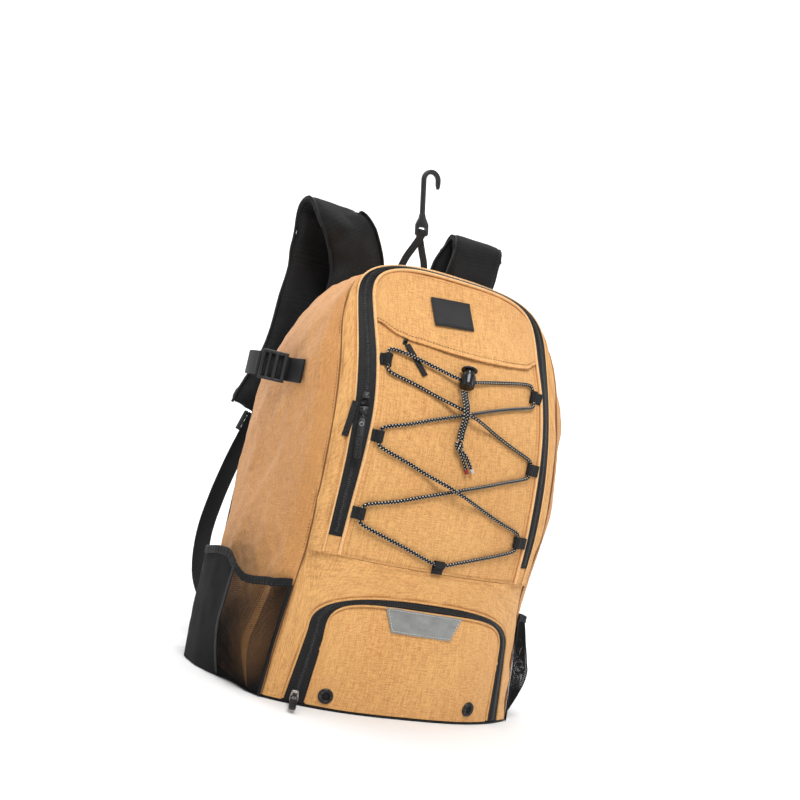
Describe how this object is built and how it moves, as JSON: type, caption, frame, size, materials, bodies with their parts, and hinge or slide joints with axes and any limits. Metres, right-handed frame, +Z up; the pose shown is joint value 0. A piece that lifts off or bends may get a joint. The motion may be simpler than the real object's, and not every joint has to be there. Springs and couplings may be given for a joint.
{
  "type": "sports backpack",
  "caption": "Sports backpack standing on its base: laced front panel, zipped shoe compartment, open net side pockets, side strap loops, shoulder straps and a fence hook.",
  "frame": {"origin": "on the floor under the middle of the body", "axes": "+Z up, the laced front looks along -Y, +X to the right seen from the front"},
  "size_m": [0.376, 0.3086, 0.5878],
  "materials": {
    "canvas": "heather canvas",
    "zip_tape": "woven tape",
    "black_fabric": "matte woven",
    "net": "knitted net",
    "label_cloth": "satin woven",
    "reflective_cloth": "reflective",
    "webbing": "ribbed webbing",
    "cord": "braided",
    "black_plastic": "moulded",
    "dark_metal": "satin"
  },
  "bodies": {
    "root": {"front_panel": "canvas", "top_pocket_flap": "canvas", "zip_end_left": "canvas", "zip_end_right": "canvas", "front_gusset": "canvas", "top_panel": "canvas", "side_panel_left": "canvas", "side_panel_right": "canvas", "shoe_front": "canvas", "shoe_door": "canvas", "main_zipper_tape": "zip_tape", "shoe_zipper_tape": "zip_tape", "main_tape_puller": "zip_tape", "top_pocket_puller": "zip_tape", "back_panel": "black_fabric", "base_panel": "black_fabric", "pocket_binding_left": "black_fabric", "pocket_binding_right": "black_fabric", "shoulder_strap_left": "black_fabric", "shoulder_strap_right": "black_fabric", "side_pocket_left": "net", "side_pocket_right": "net", "label_patch": "label_cloth", "reflective_patch": "reflective_cloth", "lacing_loop_left_top": "webbing", "lacing_loop_left_middle": "webbing", "lacing_loop_left_low": "webbing", "lacing_loop_right_top": "webbing", "lacing_loop_right_middle": "webbing", "lacing_loop_right_low": "webbing", "lacing_loop_bottom": "webbing", "side_strap_left": "webbing", "side_strap_right": "webbing", "lower_webbing_left": "webbing", "lower_webbing_right": "webbing", "haul_loop": "webbing", "lacing_cord": "cord", "cord_tail_left": "cord", "cord_tail_right": "cord", "cord_knot": "cord", "cord_lock_body": "black_plastic", "side_buckle_left": "black_plastic", "side_buckle_right": "black_plastic", "strap_adjuster_left": "black_plastic", "strap_adjuster_right": "black_plastic", "fence_hook": "black_plastic", "eyelet_left": "dark_metal", "eyelet_right": "dark_metal", "main_slider_upper": "dark_metal", "main_slider_lower": "dark_metal", "shoe_slider": "dark_metal"},
    "lock_button": {"cord_lock_button": "black_plastic"},
    "main_puller_body": {"main_puller": "black_plastic"},
    "shoe_puller_body": {"shoe_puller": "black_plastic"}
  },
  "joints": [
    {"name": "lock_button_press", "type": "slide", "parent": "root", "child": "lock_button", "axis": [-0.1757, -0.3839, -0.9065], "range_m": [0, 0.004], "stiffness_N_per_m": 600},
    {"name": "main_puller_swing", "type": "hinge", "parent": "root", "child": "main_puller_body", "pos_m": [-0.11295, -0.11825, 0.29098], "axis": [-0.8842, 0.4616, -0.0707], "range_deg": [0, 120]},
    {"name": "shoe_puller_swing", "type": "hinge", "parent": "root", "child": "shoe_puller_body", "pos_m": [-0.11937, -0.12071, 0.0121], "axis": [-0.8977, 0.4404, -0.0095], "range_deg": [0, 75]}
  ]
}
